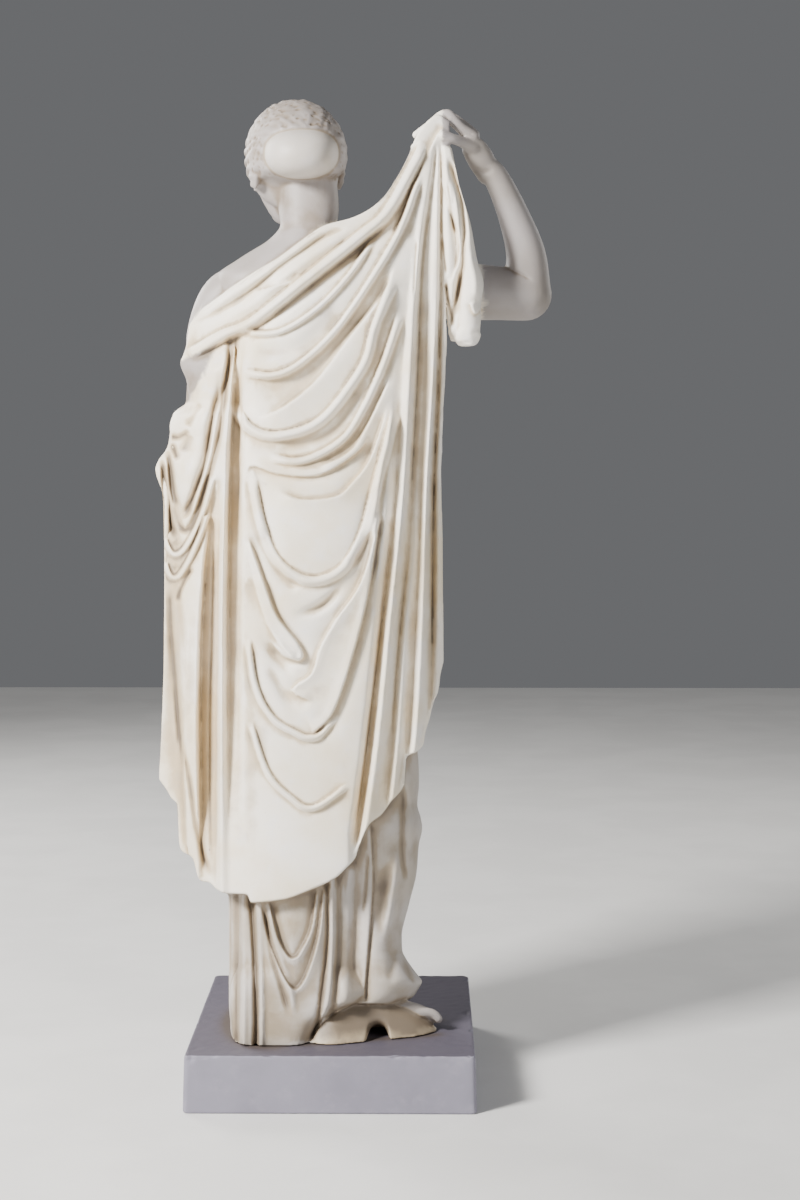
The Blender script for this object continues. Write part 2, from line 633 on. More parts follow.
# Folds of the hanging end beside the arm.
END_FOLDS = [
    furrow(15, 6, (202, 1645), (211, 1610), (224, 1563), (230, 1515), (229, 1485), (228, 1448), (222, 1415),
           (215, 1384), (212, 1345), tint=0.55, fade=0.12),
    lap(6, 10, (203, 1409), (220, 1460), (220, 1500), (204, 1550), (194, 1600), tint=0.3),
    furrow(6, 3.5, (199, 1600), (208, 1540), (214, 1500), tint=0.5),
    furrow(9, 5, (196, 1425), (200, 1396), (208, 1360), (210, 1336), tint=0.6),
    ridge(6, 9, (240, 1480), (250, 1430), (252, 1385)),
    stain(0.45, 9, (228, 1440), (224, 1400), (224, 1360)),
    lap(-5, 9, (240, 1384), (246, 1366), (254, 1364), (262, 1376), tint=0.5),
    furrow(5, 3, (191, 1500), (196, 1460), (199, 1430), tint=0.4),
]

# The bend of the right elbow and the wrist.
ARM_FOLDS = [
    furrow(4.5, 3, (306, 1443), (329, 1433), (354, 1420), tint=0.08, fade=0.3),
    furrow(4, 5, (240, 1622), (262, 1613), (284, 1614), tint=0.08, fade=0.3),
]

# The rolled edge across her shoulder blades.
ROLL = [
    lap(5, 13, (-243, 1358), (-160, 1419), (-80, 1475), (-12, 1519), tint=0.35),
    furrow(7, 5, (-252, 1346), (-165, 1392), (-96, 1447), (-20, 1498), (30, 1518), tint=0.5),
    ridge(6, 8, (-230, 1372), (-120, 1436), (-30, 1500)),
    ridge(6, 9, (-250, 1330), (-150, 1378), (-60, 1450), (50, 1526)),
    lap(4, 9, (-142, 1402), (-82, 1421), (-58, 1437), tint=0.4),
    lip(15, 24, (-268, 1300), (-205, 1335), (-150, 1359), (-60, 1430), (40, 1509), (84, 1547), (134, 1634),
        (152, 1672), tint=0.5, fade=0.05),
    furrow(9, 9, (-266, 1278), (-165, 1332), (-95, 1373), (-20, 1429), (60, 1490), (120, 1560), tint=0.4),
    lap(6, 10, (108, 1502), (137, 1578), (167, 1650), (185, 1683), (196, 1691), tint=0.6, fade=0.05),
    stain(0.22, 14, (-230, 1345), (-150, 1390), (-80, 1450)),
]

# Swags hang between the left pleats and the hand. Each path runs from its left end to its right end.
SWAGS = [
    lip(7, 12, (-162, 1336), (-100, 1338), (-34, 1378), (22, 1436), (66, 1500), tint=0.7, fade=0.08),
    furrow(7, 17, (-150, 1296), (-70, 1300), (-20, 1336), (20, 1384), tint=0.1),
    lip(10, 15, (-168, 1268), (-110, 1262), (-62, 1284), (0, 1343), (62, 1432), (114, 1522), (146, 1612),
        tint=0.7, fade=0.08),
    furrow(9, 19, (-150, 1222), (-60, 1250), (20, 1330), (70, 1390), tint=0.2),
    lap(7, 22, (-142, 1176), (-92, 1200), (-34, 1247), (24, 1322), (84, 1398), (108, 1450), tint=0.6),
    lip(11, 20, (-176, 1214), (-146, 1169), (-100, 1157), (-28, 1184), (42, 1274), (64, 1345), (100, 1432),
        tint=0.7, fade=0.1),
    furrow(7, 11, (-110, 1128), (-50, 1134), (4, 1164), (56, 1250), tint=0.25),
    lip(9, 16, (-118, 1118), (-60, 1111), (6, 1144), (44, 1198), (80, 1276), (112, 1370),
        tint=0.65, fade=0.1),
    lap(-6, 15, (-156, 1078), (-146, 1093), (-100, 1079), (-30, 1077), (34, 1112), (66, 1150), tint=0.6),
    lap(6, 14, (-30, 1092), (22, 1118), (52, 1156), (98, 1250), tint=0.6),
    lap(6, 14, (-104, 1052), (-60, 1035), (0, 1040), (28, 1062), (62, 1108), (94, 1200), tint=0.65),
    # the smooth oval and its rim
    lip(9, 20, (-140, 1078), (-124, 996), (-98, 932), (-48, 898), (4, 914), (42, 974), (66, 1062),
        (102, 1200), tint=0.5, fade=0.06),
    furrow(9, 11, (-134, 985), (-100, 905), (-60, 872), tint=0.25),
    furrow(8, 10, (74, 1060), (46, 950), (24, 908), tint=0.2),
    # the tongue
    lap(9, 14, (-156, 970), (-126, 884), (-104, 826), (-67, 777), (-57, 754), (-67, 744), (-94, 753),
        (-122, 784), tint=0.6, fade=0.1),
    lap(-7, 14, (-150, 900), (-120, 806), (-84, 753), (-64, 744), tint=0.2),
    furrow(9, 10, (-140, 800), (-86, 726), (-54, 720), tint=0.05, fade=0.45),
    # the small hollow
    furrow(13, 9, (-84, 822), (-24, 843), (24, 892), tint=0.4, fade=0.5),
    # the hook
    lap(-7, 14, (74, 980), (44, 884), (0, 818), (-28, 768), (-44, 722), (-74, 698), (-73, 684), (-38, 668),
        tint=0.6, fade=0.06),
    furrow(9, 11, (-128, 752), (-84, 676), (-50, 650), tint=0.05, fade=0.45),
    # the pointed swag
    lap(9, 15, (84, 1010), (60, 862), (32, 750), (-2, 652), (-34, 616), (-46, 611), tint=0.75, fade=0.05),
    lip(8, 14, (-152, 790), (-138, 700), (-108, 644), (-64, 616), (-46, 611), (-30, 617), (0, 654),
        tint=0.65),
    lip(7, 13, (-150, 640), (-118, 545), (-76, 499), (-40, 483), (24, 526), tint=0.65),
    # slack between the swags and the right pleats
    ridge(7, 8, (104, 1210), (82, 1050), (62, 930)),
    furrow(6, 6, (96, 1140), (80, 990), (66, 880), tint=0.3),
    # ochre where dust has settled: under the swags, down the slack column and near the hem
    stain(0.3, 18, (-140, 1220), (-100, 1212), (-50, 1230)),
    stain(0.3, 16, (-80, 1096), (0, 1106), (50, 1170)),
    stain(0.24, 20, (-60, 1390), (20, 1450), (104, 1540)),
    stain(0.24, 20, (0, 1250), (40, 1320), (80, 1380)),
    stain(0.34, 20, (-158, 1150), (-156, 1000), (-160, 850), (-158, 700), (-154, 500),
          (-146, 330), fade=0.1),
    stain(0.24, 18, (-116, 880), (-112, 780), (-124, 660), (-128, 520)),
    stain(0.26, 18, (20, 740), (40, 830), (64, 930), (84, 1060)),
    stain(0.24, 16, (12, 600), (24, 500), (20, 420)),
]

# Pleats that hang from under the left arm, from left to right.
LEFT_PLEATS = Pleats(
    1.3, 1330,
    [(380, -300, 0), (530, -318, 0), (860, -312, 0)],
    [(380, -272, -8), (606, -282, -20), (850, -299, -8), (950, -306, 0)],
    [(380, -264, 2), (606, -271, 12), (748, -270, 12), (906, -258, 10), (1080, -240, 0)],
    [(380, -250, 0), (606, -252, 9), (748, -249, 9), (906, -239, 6), (1000, -228, 0), (1080, -222, 0)],
    [(330, -241, -8), (606, -243, -28), (748, -241, -28), (906, -232, -22), (1000, -222, -10),
     (1080, -218, 0)],
    [(330, -220, -10), (606, -217, -32), (748, -214, -32), (906, -211, -26), (1000, -209, -12),
     (1080, -209, 0)],
    [(330, -208, 8), (748, -205, 12), (906, -202, 11), (1183, -190, 6), (1330, -178, 4)],
    [(400, -191, 0), (606, -191, -14), (850, -190, -23), (1060, -186, -27), (1183, -181, -23),
     (1330, -173, -12)],
    [(400, -180, 0), (606, -177, -12), (850, -175, -20), (1060, -172, -24), (1183, -170, -20),
     (1330, -166, -8)],
    [(460, -166, 0), (906, -164, 0), (1183, -161, 0), (1330, -158, 0)],
)

LEFT_CREASES = [
    furrow(15, 7, (-184, 1330), (-196, 1249), (-218, 1178), (-229, 1108), (-245, 1061), (-272, 993),
           tint=0.75, fade=0.08),
    ridge(9, 4.5, (-190, 1310), (-199, 1249), (-216, 1152), (-230, 1087), (-258, 1000), fade=0.1),
    furrow(15, 7.5, (-172, 1334), (-187, 1264), (-203, 1160), (-217, 1100), (-236, 1046), (-255, 992),
           (-269, 980), (-282, 1000), tint=0.75, fade=0.08),
    ridge(7, 8, (-166, 1330), (-177, 1264), (-193, 1170), (-212, 1080), (-232, 1005)),
    furrow(3, 2.6, (-216, 1000), (-222, 800), (-227, 600), (-226, 380), tint=0.3, fade=0.06),
    furrow(8, 6, (-297, 880), (-293, 770), (-281, 615), (-265, 530), (-248, 420), (-228, 350),
           tint=0.55, fade=0.06),
    stain(0.16, 16, (-224, 950), (-228, 700), (-230, 500), (-230, 360), fade=0.15),
]

# Cloth over the left forearm: a broad smooth fall, with narrow loops that swing up to the arm beside it.
FOREARM_CLOTH = [
    ridge(16, 20, (-206, 1290), (-232, 1210), (-255, 1120), (-266, 1060), (-272, 1015), fade=0.12),
    furrow(9, 8, (-266, 1163), (-251, 1181), (-236, 1208), tint=0.3),
    furrow(8, 5, (-294, 1146), (-278, 1145), (-258, 1158), tint=0.4),
    furrow(7, 9, (-259, 1152), (-270, 1118), tint=0.3),
    furrow(11, 5, (-291, 1136), (-280, 1102), tint=0.7, fade=0.3),
    furrow(13, 6, (-299, 1124), (-294, 1090), (-289, 1050), (-280, 1018), tint=0.7),
    ridge(7, 4.5, (-302, 1118), (-297, 1050), (-284, 985), (-268, 962)),
    furrow(9, 4.5, (-308, 1108), (-306, 1060), (-297, 1003), (-288, 960), tint=0.55),
    ridge(6, 5, (-313, 1096), (-309, 1042), (-303, 1000)),
    lip(9, 12, (-302, 968), (-287, 941), (-266, 962), (-240, 1020), (-224, 1080), tint=0.75, fade=0.06),
    lip(9, 12, (-301, 924), (-289, 899), (-271, 921), (-250, 965), (-234, 1010), tint=0.75, fade=0.06),
    stain(0.55, 13, (-289, 962), (-283, 950)),
    stain(0.55, 11, (-289, 916), (-286, 908)),
    furrow(14, 14, (-302, 1112), (-296, 1045), (-288, 992), (-282, 955), tint=0.3),
    stain(0.35, 18, (-306, 1120), (-300, 1040), (-290, 985), (-284, 930)),
    stain(0.35, 10, (-290, 900), (-276, 830), (-270, 740)),
    furrow(12, 5, (-254, 914), (-268, 890), (-278, 870), (-284, 848), tint=0.6),
]

# The under-dress below the hem: upright folds at her left, nested V folds, a long crease at her right.
DRESS_BACK = [
    furrow(14, 6.5, (-181, 330), (-182, 160), (-184, 8), tint=0.6, fade=0.0),
    ridge(7, 6, (-168, 320), (-168, 120), (-170, 8), fade=0.0),
    furrow(16, 6, (-153, 320), (-147, 200), (-145, 100), (-146, 8), tint=0.7, fade=0.0),
    ridge(8, 6, (-141, 320), (-137, 140), (-138, 8), fade=0.0),
    furrow(7, 5, (-131, 300), (-118, 212), (-97, 140), (-84, 90), tint=0.5),
    ridge(6, 6, (-124, 300), (-106, 215), (-84, 150), (-76, 90)),
    lap(8, 12, (-122, 312), (-106, 243), (-87, 206), (-76, 202), (-66, 212), (-45, 258), (-35, 335),
        tint=0.65, fade=0.08),
    lap(8, 12, (-136, 300), (-117, 222), (-93, 164), (-73, 144), (-51, 178), (-31, 250), (-22, 340),
        tint=0.65, fade=0.08),
    furrow(9, 5, (-17, 345), (-16, 240), (-26, 130), (-38, 60), tint=0.45, fade=0.0),
    ridge(8, 7, (-6, 345), (-6, 220), (-14, 130), (-25, 78), fade=0.0),
    furrow(6, 6, (6, 352), (4, 230), (0, 150), (-8, 88), tint=0.3, fade=0.0),
    ridge(5, 9, (28, 360), (22, 200), (16, 104), fade=0.0),
    lap(5, 9, (64, 450), (69, 350), (67, 310), (57, 190), (53, 118), tint=0.5, fade=0.04),
    furrow(3.5, 2.4, (64, 450), (67, 310), (53, 118), tint=0.2, fade=0.04),
    furrow(4, 3, (60, 400), (50, 280), tint=0.3),
    furrow(12, 14, (98, 390), (84, 320), (80, 262), (84, 230), tint=0.34, fade=0.4),
    ridge(10, 10, (118, 420), (104, 320), (86, 215), fade=0.35),
    furrow(8, 6, (123, 525), (121, 400), (130, 335), tint=0.4),
    ridge(6, 6, (136, 540), (136, 390)),
    furrow(5, 9, (116, 250), (104, 190), (96, 140), tint=0.1, fade=0.4),
    furrow(6, 5, (122, 200), (144, 150), tint=0.25, fade=0.35),
    # shade and dust under the hem, and dust low down
    stain(0.7, 13, (-175, 305), (-145, 296)),
    stain(0.5, 14, (-120, 300), (-50, 318), (0, 342), (36, 384), (62, 440)),
    stain(0.5, 20, (50, 450), (90, 470), (116, 520)),
    stain(0.3, 26, (-80, 290), (-76, 225)),
    stain(0.35, 22, (-190, 20), (-60, 20), fade=0.0),
    stain(0.25, 22, (20, 300), (10, 200), (0, 130)),
]

BACK_FOLDS = RIGHT_CREASES + END_FOLDS + ARM_FOLDS + ROLL + SWAGS + LEFT_CREASES + FOREARM_CLOTH
PLEATS = (LEFT_PLEATS, RIGHT_PLEATS)


NECKLINE = [(-196, 1378), (-160, 1408), (-118, 1412), (-54, 1398), (2, 1426), (48, 1458), (64, 1480)]
SLEEVE_EDGE = [(150, 1470), (154, 1405), (150, 1340)]
LEFT_ARM = through([(1170, -230, 38), (1240, -224, 39), (1330, -216, 46), (1393, -188, 47),
                    (1440, -140, 46)])


def front_folds():
    """Plainer folds on the front: upright pleats from the girdle to the hem, a girdled overfold, pleats
    from the shoulders over the breast, and upright folds in the hanging cloth."""
    folds = []
    middle = -54  # x of her middle
    for i in range(11):
        x = -168 + 21 * i
        sway = 9 * np.sin(1.7 * i)
        depth = 6 + 4 * np.sin(2.3 * i + 1)
        top = 1010 - 26 * (i % 3)
        path = [(x * 0.8 - 10, top), (x + sway * 0.4, 820), (x + sway, 560), (x * 1.05 + sway, 300),
                (x * 1.08, 120)]
        folds.append(furrow(depth, 6.5, *path, tint=0.7, fade=0.1))
    for i in range(7):
        x = -150 + 32 * i
        spread = x - middle
        waist, shoulder, breast, girdled = (middle + spread * share for share in (0.9, 1.1, 0.85, 0.7))
        folds.append(furrow(4.5, 5, (waist, 1235), (x, 1170), (x + 4, 1120), tint=0.5))
        folds.append(furrow(4.0, 5, (shoulder, 1440), (breast, 1340), (girdled, 1240), tint=0.4))
    for i in range(4):
        x = -296 + 24 * i
        folds.append(furrow(9, 7, (x + 22, 1176), (x + 8, 1090), (x, 900), (x - 2, 700),
                            (x + 4, 480 - 20 * i), tint=0.5, fade=0.1))
        folds.append(ridge(5, 7, (x + 30, 1160), (x + 20, 1080), (x + 12, 900), (x + 10, 700), fade=0.1))
    girdle = [(-200, 1090), (-120, 1074), (-54, 1070), (20, 1074), (100, 1092)]
    folds.append(lap(-9, 16, *girdle, tint=0.8, fade=0.02))
    folds.append(furrow(7, 6, (-200, 1232), (-54, 1222), (90, 1232), tint=0.7, fade=0.02))
    folds.append(lap(-6, 12, *NECKLINE, tint=0.4, fade=0.03))
    folds.append(lap(5, 12, *SLEEVE_EDGE, tint=0.4, fade=0.0))
    return folds


def side_folds():
    """Plain upright folds on the sides, drawn as (y, z): in the cloth below her left forearm, and in the
    under-dress."""
    folds = []
    for i in range(5):
        y = -22 + 29 * i
        folds.append(furrow(6 + 2 * (i % 2), 6.5, (y * 0.8 + 8, 1080), (y + 3, 840), (y, 500), tint=0.45))
    for i in range(6):
        y = -118 + 40 * i
        folds.append(furrow(6 - 2 * (i % 2), 8, (y * 0.8, 430), (y * 0.95, 260), (y, 104),
                            tint=0.4, fade=0.05))
    return folds


def pair(kind, height, width, *path, **more):
    """The same fold on both sides of the face."""
    mirrored = [(-x, z) for x, z in reversed(path)]
    return [kind(height, width, *path, **more), kind(height, width, *mirrored, **more)]


# The face, drawn as (to her right, up) from the head's middle: a calm one on common proportions.
HALF_HAIRLINE = [(64, -78), (62, -40), (56, -8), (42, 16), (22, 30)]
HAIRLINE = [(-x, z) for x, z in HALF_HAIRLINE] + [(0, 38)] + HALF_HAIRLINE[::-1]
FACE = [
    lap(5, 16, *HAIRLINE[::-1], tint=0.5, fade=0.03),
    # sockets, brows, eyeballs, upper and lower lids, cheeks
    *pair(furrow, 13, 14, (-38, -28), (-22, -27), tint=0.2, fade=0.0),
    *pair(ridge, 7, 5, (-56, -22), (-44, -11), (-28, -8), (-12, -13), fade=0.1),
    *pair(ridge, 9.5, 8.5, (-34, -29), (-28, -29), fade=0.0),
    *pair(ridge, 4, 2.4, (-46, -30), (-38, -22), (-28, -20.5), (-17, -29), fade=0.1),
    *pair(ridge, 3, 2.2, (-45, -31), (-36, -37), (-26, -37), (-17, -31), fade=0.1),
    *pair(ridge, 2, 18, (-38, -56), (-35, -50), fade=0.0),
    # from the nose to the chin
    *pair(furrow, 2.5, 6, (-14, -70), (-22, -82), tint=0.0),
    furrow(2, 3, (0, -72), (0, -78), tint=0.1),
    ridge(5, 4.5, (-18, -84), (-7, -80), (0, -81.5), (7, -80), (18, -84), fade=0.2),
    ridge(5.5, 5, (-14, -90), (-6, -92.5), (6, -92.5), (14, -90), fade=0.2),
    furrow(4.5, 2, (-22, -86), (-10, -85.5), (0, -87), (10, -85.5), (22, -86), tint=0.5, fade=0.1),
    furrow(3, 5, (-14, -98), (14, -98), tint=0.1, fade=0.2),
]


def bun_distance(true):
    """1 on the smooth roll's surface, more outside it."""
    away = (drawn_from(true) - BUN[:3]) / BUN[3:]
    return (np.abs(away) ** BUN_SQUARE).sum(1) ** (1 / BUN_SQUARE)


def hair_mask(local, true):
    """1 on the hair: near the skull's surface, outside the face and the bun, and above the nape."""
    aside, ahead, up = local
    half, long, high = SKULL
    out = np.sqrt((aside / half) ** 2 + (ahead / long) ** 2 + (up / high) ** 2)
    on_skull = ease(out, 0.8, 0.9) * ease(out, 1.25, 1.15)
    bun = bun_distance(true)
    width = through([(r[1], r[0]) for r in HAIRLINE[:4:-1]])(up)[0]
    face = (ahead > 0) * ease(width + 3 - np.abs(aside), 0, 4)
    low = ease(up + 46 + 22 * (ahead > 0), -6, 8)
    return on_skull * ease(bun, 1.03, 1.08) * (1 - face) * low * (true[:, 2] > 1530)


# ---------- building the figure ----------


def mesh_from(name, points, faces):
    """A Blender mesh from points in metres and faces."""
    mesh = bpy.data.meshes.new(name)
    mesh.from_pydata(points.tolist() if isinstance(points, np.ndarray) else points, [], faces)
    mesh.update()
    return mesh


def joined(parts):
    """One (points, faces) pair from many, in true millimetres, kept at or above the seat."""
    points, faces, offset = [], [], 0
    for part_points, part_faces in parts:
        points.append(part_points)
        faces += [[offset + corner for corner in face] for face in part_faces]
        offset += len(part_points)
    true = carry(np.vstack(points))
    true[:, 2] = np.maximum(true[:, 2], SEAT)
    return true, faces


def modified(piece, kind, **settings):
    """Applies one modifier to a piece's mesh."""
    modifier = piece.modifiers.new(kind.lower(), kind)
    for key, value in settings.items():
        setattr(modifier, key, value)
    done = bpy.data.meshes.new_from_object(piece.evaluated_get(bpy.context.evaluated_depsgraph_get()))
    piece.modifiers.clear()
    old, piece.data = piece.data, done
    bpy.data.meshes.remove(old)


def read(mesh, what, size=3):
    """One property of every vertex, as rows of an array."""
    out = np.empty(len(mesh.vertices) * size, np.float32)
    mesh.vertices.foreach_get(what, out)
    return out.reshape(-1, size).astype(float)


def write(mesh, points):
    """Moves every vertex to its row of points."""
    mesh.vertices.foreach_set("co", np.ascontiguousarray(points, np.float32).ravel())
    mesh.update()


def edges_of(mesh):
    """The two vertex numbers of every edge."""
    out = np.empty(len(mesh.edges) * 2, np.int32)
    mesh.edges.foreach_get("vertices", out)
    return out.reshape(-1, 2)


def averaged(values, edges, count):
    """Each vertex's values replaced by the mean of its neighbours', count times."""
    degree = np.bincount(edges.ravel(), minlength=len(values))[:, None]
    flat = values.reshape(len(values), -1)
    for _ in range(count):
        total = np.stack([
            np.bincount(edges[:, 0], flat[edges[:, 1], c], len(flat))
            + np.bincount(edges[:, 1], flat[edges[:, 0], c], len(flat))
            for c in range(flat.shape[1])
        ], -1)
        flat = 0.5 * flat + 0.5 * total / np.maximum(degree, 1)
    return flat.reshape(values.shape)


def head_parts(true):
    """How far each point is to her right, ahead and up from the head's middle, in mm."""
    x, y, z = carry(np.array(head_place(0, 0, 0))[None])[0]
    c, s = np.cos(HEAD["turn"]), np.sin(HEAD["turn"])
    dx, dy = true[:, 0] - x, true[:, 1] - y
    return dx * c + dy * s, dy * c - dx * s, true[:, 2] - z


def pits(true):
    """Small hollows strewn over the hair, 0 to 1 deep."""
    return np.clip(waves(true, 9, 12) - 0.75, 0, 1)


def hair_height(local, true):
    """Locks that run back from a middle parting, as the sine of the angle about a line that runs from
    the face to the back of the head, with small pits and worn patches."""
    aside, ahead, up = local
    sweep = np.arctan2(up + 30, np.abs(aside) + 12)
    strand = np.sin(34 * sweep + 0.055 * ahead + 2.2 * waves(true, 55, 11) + np.where(aside > 0, 1.3, 0.0))
    rough = waves(true, 16, 13)
    front = ease(ahead, -30, 40)
    back = 1 - front
    parting = np.exp(-((aside / 5) ** 2)) * ease(up, 10, 40)
    locks = strand * (0.6 + 1.5 * front) - 2.5 * parting * front
    pit = pits(true)
    return 2.2 * back + locks + back * (0.3 * rough - 2.6 * pit) - 1.5 * front * pit


DRESS_HEM = through([
    (-48, 20), (-44, 40), (-38, 60), (-25, 80), (-8, 92), (15, 107), (45, 116), (100, 115), (135, 119),
    (150, 148), (170, 156),
])
SUPPORT_TOP = through([(100, 117), (119, 112), (150, 97), (181, 77), (192, 60)])
NECK_BASE, CHIN = 1475, 1510  # the heights where the front's folds stop and the face's begin


def foot_mask(x, z):
    """1 below the lifted hem of the dress, on her right foot and its support."""
    return ease(DRESS_HEM(x)[0] - z, -2, 1) * ease(x, -50, -44)


def support_mask(x, z):
    """1 on the support alone, below her foot."""
    return foot_mask(x, z) * ease(SUPPORT_TOP(x)[0] - z, -2, 3)


def back_folds(x, z):
    """Height and patina of the folds on the back: the mantle's above its hem, the dress's between that
    and its own hem over the foot."""
    sums = []
    for folds in (BACK_FOLDS, DRESS_BACK):
        height, tint = np.zeros(len(x)), np.zeros(len(x))
        for stroke in folds:
            stroke.apply(x, z, height, tint)
        sums.append(np.stack([height, tint]))
    above = ease(z - HEM(x)[0], -3, 1)
    return sums[0] * above + sums[1] * (1 - above) * (1 - foot_mask(x, z))


def side_share(true, normal):
    """How much each point takes of the side folds: all of it on the left, only her front on the right."""
    return ease(-normal[:, 0], 0.35, 0.75) + ease(normal[:, 0], 0.35, 0.75) * ease(true[:, 1], 10, 40)


def carve(piece, front, side):
    """Moves each vertex by the folds: back-facing ones along their line to the station point, front-
    facing ones along y and the sides along x. Then the face, along its own forward way, and the hair
    along its normals."""
    true = read(piece.data, "co") / MM
    normal = read(piece.data, "normal")
    drawn = drawn_from(true)
    x, z = drawn[:, 0], drawn[:, 2]
    height, tint = back_folds(x, z)
    towards = (STATION - true) / np.linalg.norm(STATION - true, axis=1, keepdims=True)
    facing = (normal * towards).sum(1)
    drawn[:, 1] -= height * ease(facing, 0.05, 0.5)
    moved = carry(drawn)

    height[:] = 0
    for stroke in front:
        stroke.apply(true[:, 0], true[:, 2], height, tint)
    moved[:, 1] += height * ease(normal[:, 1], 0.15, 0.6) * (true[:, 2] < NECK_BASE)
    height[:] = 0
    for stroke in side:
        stroke.apply(true[:, 1], true[:, 2], height, tint)
    moved[:, 0] += np.sign(normal[:, 0]) * height * side_share(true, normal)

    local = head_parts(true)
    aside, ahead, up = local
    c, s = np.cos(HEAD["turn"]), np.sin(HEAD["turn"])
    forward = normal[:, 1] * c - normal[:, 0] * s
    height[:] = 0
    for stroke in FACE:
        stroke.apply(aside, up, height, tint)
    height *= ease(forward, 0.05, 0.45) * (ahead > 20) * (true[:, 2] > CHIN)
    moved[:, 0] -= height * s
    moved[:, 1] += height * c
    moved += normal * (hair_height(local, true) * hair_mask(local, true))[:, None]
    torn_end = ease(z, 1350, 1330) * ease(x, 200, 206) * ease(x, 266, 260) * (z > 1296)
    moved += normal * (2.2 * waves(true, 24, 31) * torn_end)[:, None]
    write(piece.data, moved * MM)


def add_figure():
    """The figure: its closed forms fused by a voxel remesh, smoothed, carved, thinned and painted."""
    breasts = [egg(x, 70, 1300, 50, 46, 56) for x in (-104, 0)]
    points, faces = joined([
        mantle(), left_fall(), trunk(), trailing_leg(), *hanging_end(), *arms(), *hands(), *feet(), *head(),
        *breasts,
    ])
    piece = bpy.data.objects.new("draped_woman", mesh_from("draped_woman", points * MM, faces))
    bpy.context.scene.collection.objects.link(piece)
    modified(piece, "REMESH", mode="VOXEL", voxel_size=VOXEL)
    write(piece.data, averaged(read(piece.data, "co"), edges_of(piece.data), 3))
    front, side = front_folds(), side_folds()
    carve(piece, front, side)
    write(piece.data, averaged(read(piece.data, "co"), edges_of(piece.data), 1))
    triangles = len(piece.data.polygons) * 2
    modified(piece, "DECIMATE", ratio=min(1.0, MOST_FACES / triangles), use_collapse_triangulate=True)
    drop_loose_faces(piece)
    settle(piece)
    paint(piece, front, side)
    piece.data.shade_smooth()
    return piece


def drop_loose_faces(piece):
    """Deletes any scrap of one or two faces that touches nothing else; thinning the mesh can leave one."""
    work = bmesh.new()
    work.from_mesh(piece.data)

    def faces_round(face):
        return {near for edge in face.edges for near in edge.link_faces}

    loose = [face for face in work.faces if len(faces_round(face)) < 3]
    bmesh.ops.delete(work, geom=loose, context="FACES")
    work.to_mesh(piece.data)
    work.free()


def settle(piece):
    """Flattens the underside on to the seat."""
    points = read(piece.data, "co")
    seat = SEAT * MM
    points[:, 2] = np.where(points[:, 2] < seat + 0.6 * MM, seat, points[:, 2])
    write(piece.data, points)


def attribute(mesh, name, values):
    """Stores one number for every vertex."""
    layer = mesh.attributes.new(name, "FLOAT", "POINT")
    layer.data.foreach_set("value", np.ascontiguousarray(values, np.float32))


def paint(piece, front, side):
    """Stores where patina lies, from the hollows and the folds' own tints, and where the marble is
    greyer, on the skin and the under-dress. A hollow is how far the neighbours' average rises above a
    vertex along its normal, once for fine creases and once for broad ones."""
    mesh = piece.data
    true = read(mesh, "co") / MM
    normal = read(mesh, "normal")
    edges = edges_of(mesh)
    hollow = np.zeros(len(true))
    for rounds, gain in ((3, 0.6), (14, 0.34)):
        rise = ((averaged(true, edges, rounds) - true) * normal).sum(1)
        hollow += gain * np.clip(averaged(rise, edges, 2), -2.5, 4)
    drawn = drawn_from(true)
    x, z = drawn[:, 0], drawn[:, 2]
    spare, tint = back_folds(x, z)
    back = ease(normal[:, 1], 0.2, -0.3)
    front_tint = np.zeros(len(x))
    for stroke in front:
        stroke.apply(true[:, 0], true[:, 2], spare, front_tint)
    side_tint = np.zeros(len(x))
    for stroke in side:
        stroke.apply(true[:, 1], true[:, 2], spare, side_tint)
    for pleats in PLEATS:
        tint += 0.32 * np.clip(-pleats.height(x, z) / 30, 0, 1) * (z > 320)
    below_hem = ease(HEM(x)[0] - z, -2, 2)
    tint += (0.27 + 0.3 * ease(z, 300, 40)) * below_hem + 0.42 * ease(x, -205, -285)
    tint += 0.3 * ease(z, 1490, 1520) * ease(z, 1600, 1570) * ease(np.abs(x + 48), 66, 50)
    foot, support = foot_mask(x, z), support_mask(x, z)
    tint = tint * back * (1 - foot) + front_tint * (1 - back) * 0.7 + side_tint * side_share(true, normal)
    tint += support * back * (1.3 + 0.5 * ease(z, 44, 90))
    local = head_parts(true)
    rim = np.exp(-(((bun_distance(true) - 1.03) / 0.03) ** 2)) * (np.abs(local[2]) < 70) * (local[1] < 20)
    tint += hair_mask(local, true) * (0.36 + 0.5 * pits(true)) + 0.55 * rim
    attribute(mesh, "patina", np.clip(hollow * 0.45, -0.5, 0.7) + tint)
    attribute(mesh, "skin", skin_mask(true, drawn, normal))


DRESS_GREY, BUN_GREY = 0.7, 0.65  # how far the under-dress and the roll of hair take the skin's tone


